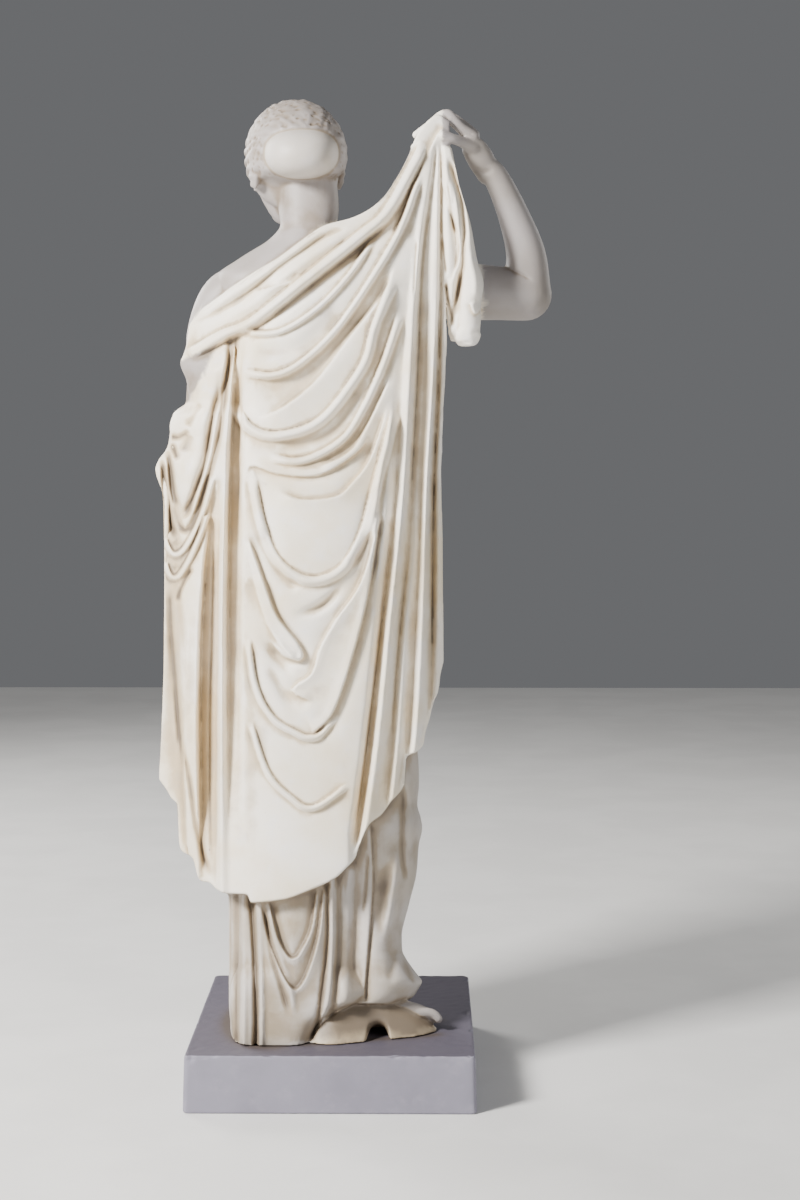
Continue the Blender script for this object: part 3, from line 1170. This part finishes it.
def skin_mask(true, drawn, normal):
    """1 on the bare arms, neck, head and toes, part on the smooth roll of hair and the greyer under-dress,
    0 on the mantle."""
    x, y, z = drawn.T
    back = ease(normal[:, 1], 0.35, 0.25)
    above = ease(z - TOP_EDGE(x)[0], -1, 3) * (x < 120)
    tx, ty, tz = true.T
    right_arm = ease(x, 261, 265) * (z > 1340) * (ty > -50)
    hand = ease(np.maximum(np.minimum(x - 219, z - 1585), np.minimum(x - 190, z - 1657)), -1, 3)
    chest = ease(tz - through(NECKLINE)(tx)[0], -2, 2) * (tx < 130) * (tx > -196) * (ty > -45)
    arm_x, arm_reach = LEFT_ARM(tz)
    left_arm = ease(arm_reach + 9 - np.hypot(tx - arm_x, ty + 9), 0, 4) * ease(tz, 1206, 1212)
    sleeve = through([(row[1], row[0]) for row in SLEEVE_EDGE[::-1]])(tz)[0]
    front_skin = (1 - back) * np.clip(chest + ease(tx - sleeve, -1, 3) * (tz > 1335) * (ty > -66), 0, 1)
    front_skin += left_arm * ease(normal[:, 1], -0.45, -0.2)
    left_hand = ease(y, 150, 158) * (z > 1120) * (x < -180)
    under_roll = 1285 + (x + 268) * 0.45 - z
    outer = -258 + (z - 1210) * 0.5 - x
    bare_arm = back * ease(np.minimum(np.minimum(under_roll, outer), z - 1206), -1, 3) * (x < -200)
    toes = foot_mask(x, z) * (1 - support_mask(x, z)) * (x > 100)
    dress = back * ease(HEM(x)[0] - z, -2, 2) + (1 - back) * ease(z, 380, 220)
    dress *= DRESS_GREY * (1 - support_mask(x, z))
    roll = (1 - BUN_GREY) * ease(bun_distance(true), 1.06, 1.01) * (z > 1590) * (ty < 0)
    return np.clip(above + right_arm + hand + front_skin + left_hand + bare_arm + toes + dress, 0, 1) - roll


# ---------- the plinth ----------


COLUMN_FOOT = (-112, -40, 84, 178)  # x, y, half width and half depth of the dress on the plinth
SUPPORT_FOOT = (66, -126, 116, 44)  # the same for the raised foot's support
SUPPORT_SLANT = 0.28  # how far the support runs forward for each mm to the right
DIRT_REACH = 16
PLINTH_CORNER = 9.0
PLINTH_POINTS = 380


def plinth_block():
    """A low block with worn edges: rings of a rounded rectangle from the middle of its underside, up its
    slightly leaning sides and over the top, which is dished by a millimetre or so. Waves above a level
    make the chips, and they die away from the upper edge as exp(-(distance / reach)^2)."""
    low, high = np.array(plinth_low) / MM, np.array(plinth_high) / MM
    half, tall = (high[:2] - low[:2]) / 2, high[2]
    turn = np.linspace(0, np.pi / 2, 9)
    outline = []
    for quarter, (sx, sy) in enumerate([(1, 1), (-1, 1), (-1, -1), (1, -1)]):
        way = np.stack([np.cos(turn + quarter * np.pi / 2), np.sin(turn + quarter * np.pi / 2)], -1)
        outline.append((half - PLINTH_CORNER) * (sx, sy) + PLINTH_CORNER * way)
    outline = np.vstack(outline)
    closed = np.vstack([outline, outline[:1]])
    length = np.concatenate([[0], np.cumsum(np.hypot(*np.diff(closed, axis=0).T))])
    spots = np.concatenate([length[:-1], np.linspace(0, length[-1], PLINTH_POINTS, endpoint=False)])
    spots = np.unique(np.round(spots, 3))
    ring = np.stack([np.interp(spots, length, closed[:, i]) for i in (0, 1)], -1)
    # Rows are (number, inset of the side, height, scale of the ring).
    up_and_over = through([
        (0, 200, 0, 0.05), (1, 4, 0, 1), (2, 1, 1.2, 1), (3, 0, 4, 1), (4, 2.6, tall - 7, 1),
        (5, 3.4, tall - 2.6, 1), (6, 5.4, tall - 0.6, 1), (7, 8, tall - 0.2, 1), (8, 8, tall - 1.2, 0.7),
        (9, 8, tall - 1.6, 0.04),
    ])
    stops = np.concatenate([np.linspace(0, 1, 10), np.linspace(1, 7, 66)[1:], np.linspace(7, 9, 46)[1:]])
    inset, z, scale = up_and_over(stops)
    inset = np.minimum(inset, 8)
    shrink = (1 - inset[:, None] / half) * scale[:, None]
    level = np.broadcast_to(z[:, None, None], (len(z), len(ring), 1))
    points, faces = shell(np.concatenate([ring[None] * shrink[:, None], level], -1))
    inwards = np.maximum(half - np.abs(points[:, :2]), 0).min(1)
    edge = np.exp(-((inwards / 16) ** 2)) * np.exp(-(((tall - points[:, 2]) / 14) ** 2))
    chips = np.clip(waves(points, 34, 21) - 1.1, 0, 1) * 5 + np.clip(waves(points, 13, 22) - 1.0, 0, 1) * 2.5
    points[:, :2] *= 1 - (edge * chips)[:, None] / half
    points[:, 2] -= edge * chips * 0.8 + 0.25 * waves(points, 22, 23) * (points[:, 2] > tall - 8)
    points[:, 2] = np.clip(points[:, 2], 0, tall)
    return points, faces


def add_plinth():
    """The plinth, with dirt that fades away from where she stands on it."""
    points, faces = plinth_block()
    piece = bpy.data.objects.new("plinth_block", mesh_from("plinth_block", points * MM, faces))
    bpy.context.scene.collection.objects.link(piece)
    x, y, z = points.T
    foot_x, foot_y, wide, long = COLUMN_FOOT
    from_column = (np.sqrt(((x - foot_x) / wide) ** 2 + ((y - foot_y) / long) ** 2) - 1) * 110
    foot_x, foot_y, wide, long = SUPPORT_FOOT
    aside = np.maximum(np.abs(x - foot_x) - wide, 0)
    ahead = np.abs(y - foot_y - SUPPORT_SLANT * (x - foot_x)) - long
    away = np.clip(np.minimum(from_column, np.hypot(aside, ahead)), 0, None)
    attribute(piece.data, "dirt", np.exp(-away / DIRT_REACH) * (z > 60))
    piece.data.shade_smooth()
    return piece


# ---------- materials ----------


def linear(hex_colour):
    """An sRGB hex colour as linear red, green, blue and alpha."""
    srgb = np.array([int(hex_colour[i:i + 2], 16) for i in (1, 3, 5)]) / 255
    rgb = np.where(srgb <= 0.04045, srgb / 12.92, ((srgb + 0.055) / 1.055) ** 2.4)
    return (*rgb.tolist(), 1.0)


def add_node(tree, kind, settings=None, **links):
    """Adds one node. settings are its properties and socket defaults. links feed its input sockets, by
    name with _ for a space, or by number as in _0."""
    new = tree.nodes.new(kind)
    for key, value in (settings or {}).items():
        if isinstance(key, str) and hasattr(new, key):
            setattr(new, key, value)
        else:
            new.inputs[key].default_value = value
    for key, source in links.items():
        socket = new.inputs[int(key[1:]) if key[1:].isdigit() else key.replace("_", " ")]
        tree.links.new(source, socket)
    return new


def blend(tree, amount, low, high, how="MIX"):
    """Mixes two colours, each a hex string or a socket."""
    mix = add_node(tree, "ShaderNodeMix", {"data_type": "RGBA", "blend_type": how})
    for socket, value in ((mix.inputs[6], low), (mix.inputs[7], high)):
        if isinstance(value, str):
            socket.default_value = linear(value)
        else:
            tree.links.new(value, socket)
    if isinstance(amount, float):
        mix.inputs[0].default_value = amount
    else:
        tree.links.new(amount, mix.inputs[0])
    return mix.outputs[2]


def ramp(tree, value, low, high, out_low=0.0, out_high=1.0):
    """Maps low..high to out_low..out_high with eased ends."""
    settings = {"interpolation_type": "SMOOTHSTEP", 1: low, 2: high, 3: out_low, 4: out_high}
    return add_node(tree, "ShaderNodeMapRange", settings, _0=value).outputs[0]


def add(tree, a, b):
    """The sum of two sockets."""
    return add_node(tree, "ShaderNodeMath", {"operation": "ADD"}, _0=a, _1=b).outputs[0]


def grain(tree, where, size_mm, detail=4.0, roughness=0.55):
    """Noise whose features are about size_mm across."""
    settings = {"Scale": 1000.0 / size_mm, "Detail": detail, "Roughness": roughness}
    return add_node(tree, "ShaderNodeTexNoise", settings, Vector=where).outputs["Fac"]


def start_material(name, ior, roughness):
    """A stone with no colour yet, with its node tree, its shader and its Object coordinates."""
    material = bpy.data.materials.new(name)
    material.use_nodes = True
    tree = material.node_tree
    tree.nodes.clear()
    output = add_node(tree, "ShaderNodeOutputMaterial")
    shader = add_node(tree, "ShaderNodeBsdfPrincipled", {"IOR": ior, "Roughness": roughness})
    tree.links.new(shader.outputs[0], output.inputs[0])
    where = add_node(tree, "ShaderNodeTexCoord").outputs["Object"]
    return material, tree, shader, where


def honed_marble():
    """White marble, carved and honed, long handled: warm cream on the cloth, cooler and greyer on the
    skin, with ochre and brown patina in the hollows. It gives a soft, nearly matt sheen."""
    material, tree, shader, where = start_material("honed_marble", 1.49, 0.52)
    patina = add_node(tree, "ShaderNodeAttribute", {"attribute_name": "patina"}).outputs["Fac"]
    skin = add_node(tree, "ShaderNodeAttribute", {"attribute_name": "skin"}).outputs["Fac"]
    broad = grain(tree, where, 160)
    middling = grain(tree, where, 38, 5.0)
    fine = grain(tree, where, 5, 6.0, 0.65)
    cloth = blend(tree, ramp(tree, broad, 0.35, 0.68), "#F7F0E4", "#EADCC2")
    cloth = blend(tree, ramp(tree, middling, 0.5, 0.8, 0.0, 0.5), cloth, "#F0EEF0")
    flesh = blend(tree, ramp(tree, broad, 0.35, 0.7), "#A29B99", "#928A82")
    base = blend(tree, skin, cloth, flesh)
    base = blend(tree, ramp(tree, fine, 0.58, 0.8, 0.0, 0.28), base, "#B8A88C")
    worn = add(tree, patina, ramp(tree, middling, 0.3, 0.75, -0.12, 0.16))
    base = blend(tree, ramp(tree, worn, 0.03, 0.6, 0.0, 0.85), base, "#CFC2AD", "MULTIPLY")
    base = blend(tree, ramp(tree, worn, 0.5, 1.45, 0.0, 0.92), base, "#695C4D")
    tree.links.new(base, shader.inputs["Base Color"])
    bump = add_node(tree, "ShaderNodeBump", {"Strength": 0.25, "Distance": 0.0006}, Height=fine)
    tree.links.new(bump.outputs[0], shader.inputs["Normal"])
    return material


def rubbed_marble():
    """Grey marble block, sawn and rubbed, dull and mottled; handling and dust darken its top, and dirt
    lies round her feet."""
    material, tree, shader, where = start_material("rubbed_grey_marble", 1.49, 0.6)
    dirt = add_node(tree, "ShaderNodeAttribute", {"attribute_name": "dirt"}).outputs["Fac"]
    facing = add_node(tree, "ShaderNodeTexCoord").outputs["Normal"]
    up = add_node(tree, "ShaderNodeSeparateXYZ", _0=facing).outputs["Z"]
    broad = grain(tree, where, 120)
    middling = grain(tree, where, 26, 5.0)
    fine = grain(tree, where, 3.5, 6.0, 0.7)
    base = blend(tree, ramp(tree, broad, 0.35, 0.7), "#85828F", "#7A7783")
    base = blend(tree, ramp(tree, middling, 0.5, 0.78, 0.0, 0.5), base, "#918E9A")
    base = blend(tree, ramp(tree, up, 0.6, 0.98, 0.0, 0.82), base, "#443F4A")
    base = blend(tree, ramp(tree, fine, 0.6, 0.8, 0.0, 0.4), base, "#86827F")
    base = blend(tree, ramp(tree, dirt, 0.05, 1.0, 0.0, 0.85), base, "#4A4038")
    tree.links.new(base, shader.inputs["Base Color"])
    bump = add_node(tree, "ShaderNodeBump", {"Strength": 0.35, "Distance": 0.0008}, Height=fine)
    tree.links.new(bump.outputs[0], shader.inputs["Normal"])
    return material


# ---------- setting ----------


FLOOR_HALF = 6
WORLD_COLOUR, WORLD_STRENGTH = "#D4D6DA", 0.22
LIGHT_AIM = (0, 0, 0.95)
# Each area light's name, place, width, watts and colour, in metres.
LIGHTS = [
    ("key", (-2.7, -2.4, 2.9), 0.9, 520, (1.0, 0.98, 0.95)),
    ("fill", (2.4, -2.6, 1.3), 1.8, 34, (0.93, 0.96, 1.0)),
    ("far_left", (-2.4, 2.6, 2.6), 1.6, 120, (1.0, 0.99, 0.97)),
    ("far_right", (2.4, 2.4, 2.2), 1.6, 26, (1.0, 0.99, 0.97)),
]


def add_camera():
    """A camera at the station point, looking slightly down."""
    camera = bpy.data.objects.new("camera", bpy.data.cameras.new("camera"))
    camera.location = STATION * MM
    camera.rotation_euler = (np.pi / 2 + CAMERA_PITCH, 0, CAMERA_YAW)
    camera.data.sensor_width = SENSOR
    camera.data.lens = LENS
    bpy.context.scene.collection.objects.link(camera)
    bpy.context.scene.camera = camera


def add_light(name, place, size, watts, colour):
    """A square area light that faces LIGHT_AIM."""
    lamp = bpy.data.lights.new(name, "AREA")
    lamp.size, lamp.energy, lamp.color = size, watts, colour
    light = bpy.data.objects.new(name, lamp)
    light.location = place
    way = np.array(LIGHT_AIM) - np.array(place)
    tilt = np.arccos(-way[2] / np.linalg.norm(way))
    light.rotation_euler = (tilt, 0, np.arctan2(way[1], way[0]) - np.pi / 2)
    bpy.context.scene.collection.objects.link(light)


def add_setting():
    """A pale floor, a plain grey surround and the lights."""
    corners = [(x * FLOOR_HALF, y * FLOOR_HALF, 0) for x, y in ((-1, -1), (1, -1), (1, 1), (-1, 1))]
    floor = bpy.data.objects.new("studio_floor", mesh_from("studio_floor", corners, [(0, 1, 2, 3)]))
    bpy.context.scene.collection.objects.link(floor)
    material, tree, shader, where = start_material("pale_floor", 1.45, 0.8)
    tint = blend(tree, ramp(tree, grain(tree, where, 300), 0.4, 0.6), "#D9D8D6", "#DEDDDB")
    tree.links.new(tint, shader.inputs["Base Color"])
    floor.data.materials.append(material)
    world = bpy.data.worlds.new("studio")
    world.use_nodes = True
    surround = world.node_tree.nodes["Background"]
    surround.inputs[0].default_value = linear(WORLD_COLOUR)
    surround.inputs[1].default_value = WORLD_STRENGTH
    bpy.context.scene.world = world
    for light in LIGHTS:
        add_light(*light)


add_camera()
woman = add_figure()
woman.data.materials.append(honed_marble())
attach(woman, "root")
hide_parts("figure")

block = add_plinth()
block.data.materials.append(rubbed_marble())
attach(block, "root")
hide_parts("plinth")

add_setting()
